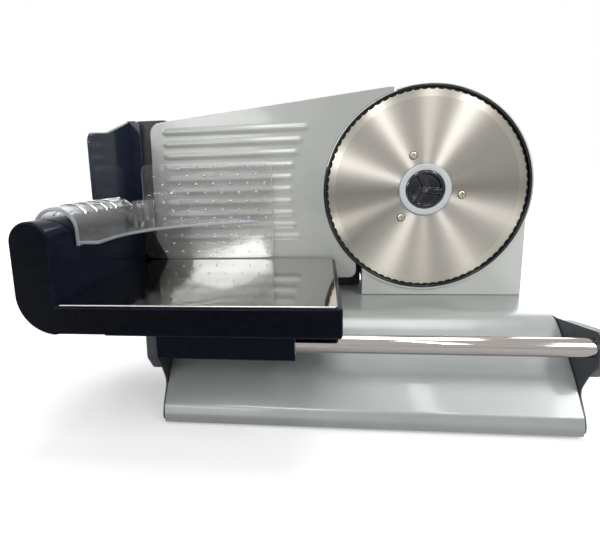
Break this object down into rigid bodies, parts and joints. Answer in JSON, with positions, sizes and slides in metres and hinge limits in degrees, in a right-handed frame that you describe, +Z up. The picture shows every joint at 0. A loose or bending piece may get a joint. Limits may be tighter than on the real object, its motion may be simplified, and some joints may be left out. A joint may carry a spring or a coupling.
{
  "type": "electric food slicer",
  "caption": "Electric food slicer with a toothed round blade, a sliding food tray with a clear pusher, and a knob-set slice plate.",
  "frame": {"origin": "middle of the underside of the slicer's box, on the surface that it stands on, with the carriage at its left end", "axes": "+X to the right along the guide rod, seen from the blade side; +Y away from the user, along the blade's axis; +Z up"},
  "size_m": [0.4266, 0.2906, 0.2865],
  "materials": {
    "silver_paint": "satin silver paint on aluminium",
    "dark_grey_plastic": "fine-grained moulded plastic",
    "black_gloss_plastic": "polished moulded plastic",
    "black_matt_plastic": "matt moulded plastic",
    "chrome_steel": "polished chrome plate",
    "brushed_steel": "radially lit turned finish with a ground edge",
    "mirror_steel": "mirror-polished stainless sheet",
    "clear_plastic": "clear moulded plastic",
    "hub_grey": "grey paint",
    "nylon": "natural nylon",
    "bronze": "sintered bronze",
    "zinc_steel": "zinc-plated steel",
    "rubber": "matt rubber",
    "lacquered_iron": "lacquered laminations"
  },
  "bodies": {
    "base": {"base_housing": "silver_paint", "base_floor": "black_matt_plastic", "foot_front_left": "rubber", "foot_rear_left": "rubber", "foot_front_right": "rubber", "foot_rear_right": "rubber", "floor_screw_1": "zinc_steel", "floor_screw_2": "zinc_steel", "floor_screw_3": "zinc_steel", "floor_screw_4": "zinc_steel", "end_cap_left": "dark_grey_plastic", "end_cap_right": "dark_grey_plastic", "guide_rod": "chrome_steel", "cord_gland": "black_matt_plastic", "blade_upright": "silver_paint", "upright_bolt_1": "zinc_steel", "upright_bolt_2": "zinc_steel", "blade_guard_ring": "black_matt_plastic", "rear_housing": "black_matt_plastic", "housing_screw_1": "zinc_steel", "housing_screw_2": "zinc_steel", "housing_screw_3": "zinc_steel", "housing_screw_4": "zinc_steel", "gear_bracket": "zinc_steel", "motor_can": "zinc_steel", "spindle_bush_front": "bronze", "spindle_bush_rear": "bronze", "guide_block": "black_matt_plastic"},
    "carriage": {"carriage_frame": "black_gloss_plastic", "food_tray": "mirror_steel", "carriage_runner": "black_gloss_plastic", "runner_bush_left": "nylon", "runner_bush_right": "nylon", "hand_guard": "black_gloss_plastic", "carriage_glide": "nylon"},
    "pusher": {"pusher_plate": "clear_plastic", "pusher_saddle": "clear_plastic"},
    "blade_set": {"blade": "brushed_steel", "blade_hub": "hub_grey", "blade_screw_1": "zinc_steel", "blade_screw_2": "zinc_steel", "blade_screw_3": "zinc_steel", "blade_gear": "nylon", "blade_spindle": "zinc_steel"},
    "lock_knob": {"blade_lock_knob": "black_gloss_plastic"},
    "idler": {"idler_gear": "nylon", "idler_shaft": "zinc_steel"},
    "motor_rotor": {"motor_armature": "lacquered_iron", "motor_shaft": "zinc_steel", "motor_pinion": "bronze", "motor_fan": "black_matt_plastic"},
    "adjuster": {"thickness_knob": "black_matt_plastic", "adjuster_screw": "zinc_steel"},
    "gauge_plate": {"slice_plate": "silver_paint", "plate_carrier": "black_matt_plastic", "guide_bar_lower": "chrome_steel", "guide_bar_upper": "chrome_steel"},
    "switch_rocker": {"power_switch": "black_matt_plastic"},
    "button": {"safety_button": "dark_grey_plastic"}
  },
  "joints": [
    {"name": "carriage_slide", "type": "slide", "parent": "base", "child": "carriage", "axis": [1, 0, 0], "range_m": [0, 0.2]},
    {"name": "pusher_slide", "type": "slide", "parent": "carriage", "child": "pusher", "axis": [0, -1, 0], "range_m": [0, 0.11]},
    {"name": "blade_spin", "type": "hinge", "parent": "base", "child": "blade_set", "pos_m": [0.10547, 0.06205, 0.187], "axis": [0, 1, 0], "continuous": true},
    {"name": "lock_knob_turn", "type": "hinge", "parent": "blade_set", "child": "lock_knob", "pos_m": [0.10547, 0.05305, 0.187], "axis": [0, 1, 0], "range_deg": [0, 45]},
    {"name": "idler_spin", "type": "hinge", "parent": "base", "child": "idler", "pos_m": [0.14019, 0.07405, 0.14563], "axis": [0, 1, 0], "continuous": true},
    {"name": "motor_spin", "type": "hinge", "parent": "base", "child": "motor_rotor", "pos_m": [0.13584, 0.11005, 0.12101], "axis": [0, 1, 0], "continuous": true},
    {"name": "thickness_knob_turn", "type": "hinge", "parent": "base", "child": "adjuster", "pos_m": [-0.00852, 0.11805, 0.16], "axis": [0, 1, 0], "range_deg": [0, 300]},
    {"name": "plate_slide", "type": "slide", "parent": "base", "child": "gauge_plate", "axis": [0, 1, 0], "range_m": [0, 0.014]},
    {"name": "power_switch_rock", "type": "hinge", "parent": "base", "child": "switch_rocker", "pos_m": [0.20247, 0.10205, 0.128], "axis": [0, 1, 0], "range_deg": [0, 9]},
    {"name": "safety_button_press", "type": "slide", "parent": "base", "child": "button", "axis": [-1, 0, 0], "range_m": [0, 0.003], "stiffness_N_per_m": 400}
  ],
  "couplings": [
    {"joint": "idler_spin", "follows": "blade_spin", "ratio": -5},
    {"joint": "motor_spin", "follows": "blade_spin", "ratio": 20},
    {"joint": "thickness_knob_turn", "follows": "plate_slide", "rad_per_m": 373.99}
  ]
}
